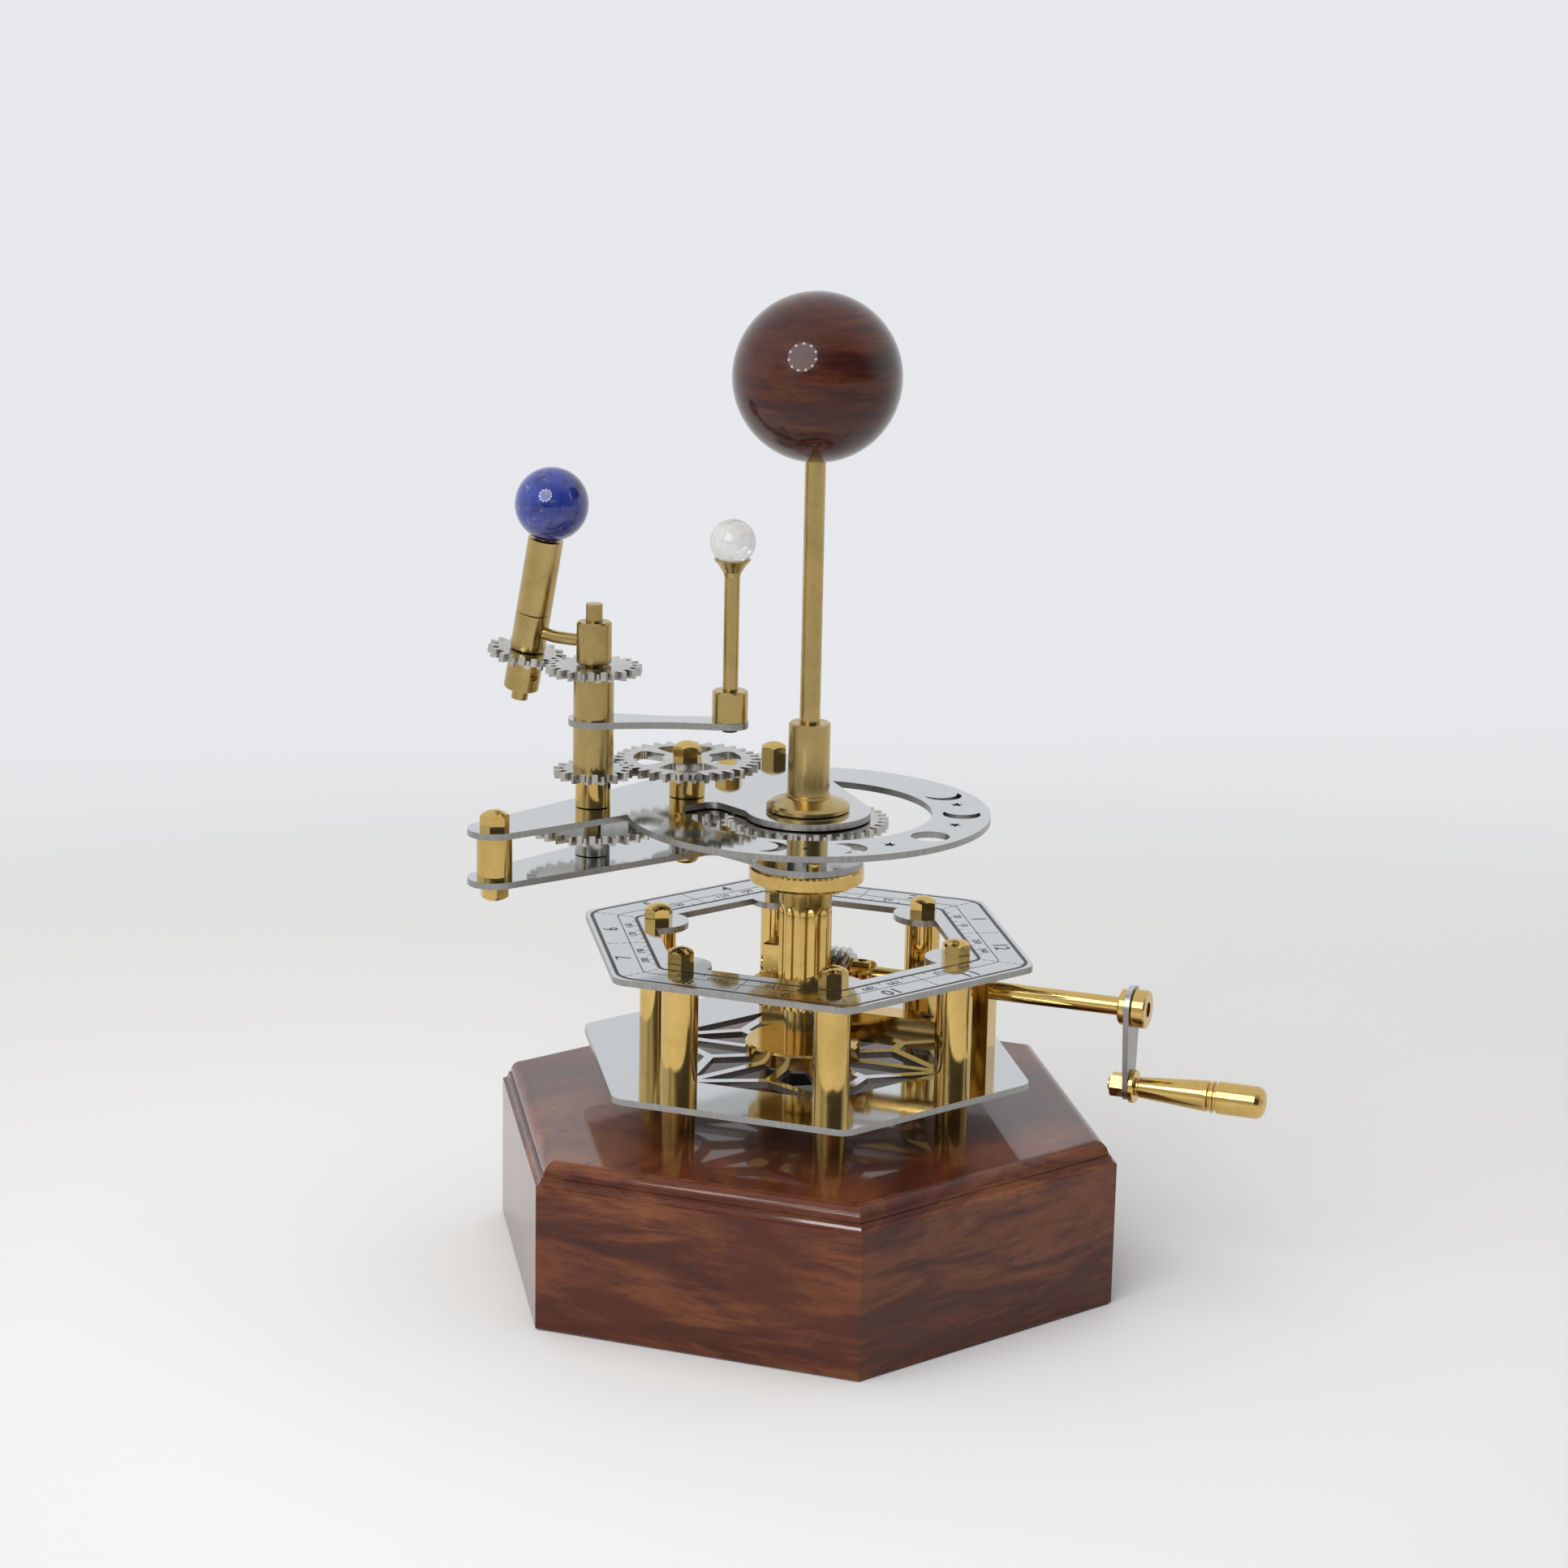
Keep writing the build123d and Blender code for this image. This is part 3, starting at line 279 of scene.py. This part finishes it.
def makeLapis(name, look):
    material, g = newMaterial(name)
    where = g.coordinates()
    cloud = g.noise(where, look["cloudScale"], 5.0, 0.6, 0.7)
    vein = g.noise(where, look["veinScale"], 6.0, 0.7, 1.6)
    fleck = g.noise(where, look["fleckScale"], 2.0, 0.6)
    tone = g.ramp(cloud, [(0.32, look["deep"]), (0.55, look["blue"]), (0.75, look["deep"])])
    tone = g.mix(vein.above(0.58, 9.0) * look["veinShare"], tone, look["pale"])
    tone = g.mix(fleck.above(0.66, 20.0) * vein.above(0.5, 8.0), tone, look["gold"])
    shader = g.add("BsdfPrincipled", Base_Color=tone, Roughness=look["roughness"],
                   Coat_Weight=look["coat"], Coat_Roughness=look["coatRough"])
    g.add("OutputMaterial", Surface=shader)
    return material


quartzLook = dict(clear=(0.93, 0.93, 0.92), veil=(0.80, 0.79, 0.77), veilScale=210.0,
                  veilRough=0.6, roughness=0.02, index=1.54, transmission=0.72)


def makeQuartz(name, look):
    material, g = newMaterial(name)
    veil = g.noise(g.coordinates(), look["veilScale"], 6.0, 0.7, 2.2)
    tone = g.ramp(veil, [(0.4, look["clear"]), (0.62, look["veil"])])
    rough = veil.swing(look["veilRough"]).clamped() + look["roughness"]
    shader = g.add("BsdfPrincipled", Base_Color=tone, Roughness=rough, IOR=look["index"],
                   Transmission_Weight=look["transmission"])
    g.add("OutputMaterial", Surface=shader)
    return material


enamelLook = dict(colour=(0.012, 0.013, 0.012), roughness=0.4)


def makeEnamel(name, look):
    material, g = newMaterial(name)
    shader = g.add("BsdfPrincipled", Base_Color=look["colour"], Roughness=look["roughness"])
    g.add("OutputMaterial", Surface=shader)
    return material


satinBrass = makeBrass("brassSatin", satinLook)
crankBrass = makeBrass("brassCrank", brassLook, "even")
finishes = {"base_wood": makeWood("baseWood", woodLook),
            "sun_wood": makeWood("sunWood", sunLook),
            "plate_steel": makeSteel("steelSheet", steelLook),
            "gear_steel": makeGearMetal("gearMetal", gearLook),
            "dark_steel": makeDarkSteel("darkSteel", darkLook),
            "brass": makeBrass("brassPolished", brassLook),
            "earth_stone": makeLapis("lapis", lapisLook),
            "moon_quartz": makeQuartz("quartz", quartzLook)}
print("materials made")

satinNodes = ("sun_rod", "sun_socket", "earth_tube", "earth_stem", "earth_hub", "moon_stem", "moon_base",
              "moon_tubes", "tilt_rod", "tilt_sleeve", "spindle", "spindle_collar")
crankNodes = ("crank_shaft", "crank_grip", "crank_nuts", "crank_washers", "worm_collar")
nodeFinishes = dict.fromkeys(satinNodes, satinBrass) | dict.fromkeys(crankNodes, crankBrass)

for part in frame["record"]["subparts"]:
    node = part["node"]
    for materialSlot in bpy.data.objects[node].material_slots:
        materialSlot.material = nodeFinishes.get(node, finishes[part["material_slot"]])
print("solids dressed")


def toMesh(bm, name):
    mesh = bpy.data.meshes.new(name)
    bm.to_mesh(mesh)
    bm.free()
    return mesh


def addObject(name, data):
    made = bpy.data.objects.new(name, data)
    bpy.context.scene.collection.objects.link(made)
    return made


# marks on the upper plate, in millimetres, those that end in In from the edge's middle inwards
dial = dict(apothem=71.53, top=116.5, lift=0.03, border=1.25, borderIn=1.3, midLine=0.35, midIn=10.6,
            innerIn=17.4, outerRound=5.2, innerRound=2.6, roundSteps=5, sectorLine=0.32, dashes=6,
            dashShare=0.72, tickLine=0.3, tick=1.5, tickEvery=5, numberSize=7.4, numberIn=6.5,
            degreeSize=3.7, degreeIn=13.3, degreeStep=5.0, boldness=0.012, textSteps=3)
sectors = 12
sectorAngle = 360.0 / sectors
sides = 6
sideAngle = 360.0 / sides


def ringMesh(apothem, width, rounding):
    bm = bmesh.new()
    made = bmesh.ops.create_circle(bm, cap_ends=True, segments=sides,
                                   radius=apothem / cos(pi / sides) * mm)
    bmesh.ops.bevel(bm, geom=made["verts"], offset=rounding * mm, segments=dial["roundSteps"],
                    profile=0.5, affect="VERTICES", material=-1)
    bm.faces.ensure_lookup_table()
    middle = bm.faces[0]
    bmesh.ops.inset_individual(bm, faces=[middle], thickness=width * mm)
    bmesh.ops.delete(bm, geom=[middle], context="FACES_ONLY")
    return toMesh(bm, "ring")


def textMesh(words, size):
    letters = bpy.data.curves.new("letters", "FONT")
    letters.body = words
    letters.size = size * mm
    letters.align_x = "CENTER"
    letters.align_y = "CENTER"
    letters.offset = size * dial["boldness"] * mm
    letters.resolution_u = dial["textSteps"]
    holder = bpy.data.objects.new("letters", letters)
    mesh = bpy.data.meshes.new_from_object(holder)
    bpy.data.objects.remove(holder)
    return mesh


def addMesh(bm, mesh):
    bm.from_mesh(mesh)
    bpy.data.meshes.remove(mesh)


def turned(angle):
    return Matrix.Rotation(radians(angle), 4, "Z")


def addBar(bm, angle, start, length, width):
    place = turned(angle) @ Matrix.Translation(((start + length / 2) * mm, 0, 0))
    size = Matrix.Diagonal((length * mm, width * mm, 1, 1))
    bmesh.ops.create_grid(bm, x_segments=1, y_segments=1, size=0.5, matrix=place @ size)


# how much farther out a side lies at an angle than at its middle
def sideStretch(angle):
    return 1.0 / cos(radians((angle + sideAngle / 2) % sideAngle - sideAngle / 2))


def addLines(bm, look, low, high):
    for sector in range(sectors):
        angle = sectorAngle * sector
        start = low * sideStretch(angle)
        step = (high - low) * sideStretch(angle) / look["dashes"]
        for dash in range(look["dashes"]):
            addBar(bm, angle, start + dash * step, step * look["dashShare"], look["sectorLine"])
    for angle in range(0, 360, look["tickEvery"]):
        if angle % sectorAngle:
            addBar(bm, angle, low * sideStretch(angle), look["tick"], look["tickLine"])


def addNumber(bm, look, number, size, into, angle, side):
    out = (look["apothem"] - into) * mm
    offset = radians(angle - side)
    along = out * sin(offset) / cos(offset)
    mesh = textMesh(str(number), size)
    mesh.transform(turned(side) @ Matrix.Translation((out, along, 0)) @ turned(-90))
    addMesh(bm, mesh)


def makeDial(look):
    bm = bmesh.new()
    high = look["apothem"] - look["borderIn"] - look["border"]
    low = look["apothem"] - look["innerIn"] + look["border"]
    addMesh(bm, ringMesh(look["apothem"] - look["borderIn"], look["border"], look["outerRound"]))
    addMesh(bm, ringMesh(look["apothem"] - look["midIn"], look["midLine"], look["innerRound"]))
    addMesh(bm, ringMesh(low, look["border"], look["innerRound"]))
    addLines(bm, look, low, high)
    for sector in range(sectors):
        middle = sectorAngle * (sector + 0.5)
        side = sideAngle * ((sector + 1) // 2)
        addNumber(bm, look, sector + 1, look["numberSize"], look["numberIn"], middle, side)
        for angle in (middle - look["degreeStep"], middle + look["degreeStep"]):
            addNumber(bm, look, int(angle), look["degreeSize"], look["degreeIn"], angle, side)
    bmesh.ops.translate(bm, verts=bm.verts, vec=(0, 0, (look["top"] + look["lift"]) * mm))
    for face in bm.faces:
        face.normal_update()
        if face.normal.z < 0:
            face.normal_flip()
    return addObject("dialMarks", toMesh(bm, "dialMarks"))


marks = makeDial(dial)
marks.data.materials.append(makeEnamel("dialEnamel", enamelLook))
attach(marks, "stand")
print("dial marked")


# lengths in metres, and the paper goes over to the seen colour away from the object
floorLook = dict(paper=(0.72, 0.71, 0.69), near=(0.69, 0.68, 0.66), wall=(0.80, 0.81, 0.835),
                 radius=14.0, roughness=0.9, blendFrom=0.26, blendOver=0.5, wallFrom=-0.05, wallOver=0.9)


def makeFloor(look):
    bm = bmesh.new()
    bmesh.ops.create_circle(bm, cap_ends=True, segments=96, radius=look["radius"])
    floor = addObject("floor", toMesh(bm, "floor"))
    material, g = newMaterial("floorPaper")
    where = g.coordinates()
    far = g.add("VectorMath", out=1, settings={"operation": "LENGTH"}, Vector=where)
    away = ((far - look["blendFrom"]) / look["blendOver"]).clamped()
    back = ((g.split(where, "Y") - look["wallFrom"]) / look["wallOver"]).clamped()
    paper = g.add("BsdfPrincipled", Base_Color=look["paper"], Roughness=look["roughness"])
    glow = g.add("Emission", Color=g.mix(back, look["near"], look["wall"]), Strength=1.0)
    # the outputs for camera, glossy and transmission rays
    seen = g.add("LightPath", out=0) + g.add("LightPath", out=3) + g.add("LightPath", out=6)
    blend = g.add("MixShader", input0=away * seen.clamped(), input1=paper, input2=glow)
    g.add("OutputMaterial", Surface=blend)
    floor.data.materials.append(material)


# pale all round and dark behind the camera, apart from a pale band at the left and the roof
worldLook = dict(wall=(0.80, 0.81, 0.835), frontFrom=-0.12, frontGain=2.4, frontLevel=0.10,
                 roofFrom=0.55, roofGain=3.0, roofShare=0.6, bandAt=-0.72, bandGain=4.5, bandLevel=0.75)


def makeWorld(look):
    world = bpy.data.worlds.new("studio")
    bpy.context.scene.world = world
    g = Graph(world)
    direction = g.add("TexCoord", out=0)
    front = ((look["frontFrom"] - g.split(direction, "Y")) * look["frontGain"]).clamped()
    roof = g.split(direction, "Z").above(look["roofFrom"], look["roofGain"])
    side = g.split(direction, "X")
    band = (1 - abs((side - look["bandAt"]) * look["bandGain"])).clamped() * front
    shade = front * (1 - look["frontLevel"]) * (1 - roof * look["roofShare"])
    level = 1 - shade + band * look["bandLevel"]
    background = g.add("Background", Color=look["wall"], Strength=level)
    g.add("OutputWorld", Surface=background)


def addLamp(name, look):
    lamp = bpy.data.lights.new(name, "AREA")
    lamp.shape = "RECTANGLE" if "tall" in look else "DISK"
    lamp.size = look["across"]
    if "tall" in look:
        lamp.size_y = look["tall"]
    lamp.energy = look["power"]
    holder = addObject(name, lamp)
    place = Vector(look["place"])
    holder.location = place
    holder.rotation_euler = (Vector(look["target"]) - place).to_track_quat("-Z", "Y").to_euler()
    holder.visible_glossy = look["mirrored"]
    return holder


# a disc with a ring of bulbs in front of it, which shows in the balls
ringLamp = dict(place=(-0.665, -0.973, 1.065), target=(0, 0, 0.31), across=0.98, power=8.0, mirrored=True)
bulbLook = dict(count=11, across=0.085, power=0.32, mirrored=True, ringShare=0.46, ahead=-0.02)
overheadLamp = dict(place=(-0.2, 0.0, 1.7), target=(0, 0, 0.1), across=1.2, tall=1.2, power=7.0,
                    mirrored=False)
leftLamp = dict(place=(-1.3, -0.5, 0.7), target=(0, 0, 0.15), across=0.6, tall=1.0, power=4.0,
                mirrored=False)


def addRingLamp(look, bulb):
    turn = addLamp("ringDisc", look).rotation_euler.to_matrix()
    ring = look["across"] * bulb["ringShare"]
    for index in range(bulb["count"]):
        angle = 2 * pi * index / bulb["count"]
        offset = turn @ Vector((cos(angle), sin(angle), bulb["ahead"])) * ring
        spot = dict(place=Vector(look["place"]) + offset, target=Vector(look["target"]) + offset)
        addLamp("bulb%02d" % index, bulb | spot)


# angles in degrees, lengths in metres, and the focal length in pixels of the photograph
cameraLook = dict(azimuth=-9.906, elevation=13.83, roll=1.19, distance=1.2741, aimAcross=-0.00834,
                  aimUp=0.17095, focalPixels=4601.5, pixels=1932.0, sensor=36.0, near=0.05, far=60.0)


def addCamera(look):
    azimuth = radians(look["azimuth"])
    elevation = radians(look["elevation"])
    roll = radians(look["roll"])
    right = Vector((cos(azimuth), sin(azimuth), 0))
    back = Vector((sin(azimuth) * cos(elevation), -cos(azimuth) * cos(elevation), sin(elevation)))
    up = back.cross(right)
    across = right * cos(roll) + up * sin(roll)
    above = up * cos(roll) - right * sin(roll)
    aim = right * look["aimAcross"] + Vector((0, 0, look["aimUp"]))
    lens = bpy.data.cameras.new("camera")
    lens.sensor_width = look["sensor"]
    lens.lens = look["focalPixels"] * look["sensor"] / look["pixels"]
    lens.clip_start = look["near"]
    lens.clip_end = look["far"]
    camera = addObject("camera", lens)
    turn = Matrix((across, above, back)).transposed().to_4x4()
    camera.matrix_world = Matrix.Translation(aim + back * look["distance"]) @ turn
    bpy.context.scene.camera = camera


makeFloor(floorLook)
makeWorld(worldLook)
addRingLamp(ringLamp, bulbLook)
addLamp("overhead", overheadLamp)
addLamp("softLeft", leftLamp)
addCamera(cameraLook)
bpy.context.scene.view_settings.view_transform = "Standard"
print("studio set")
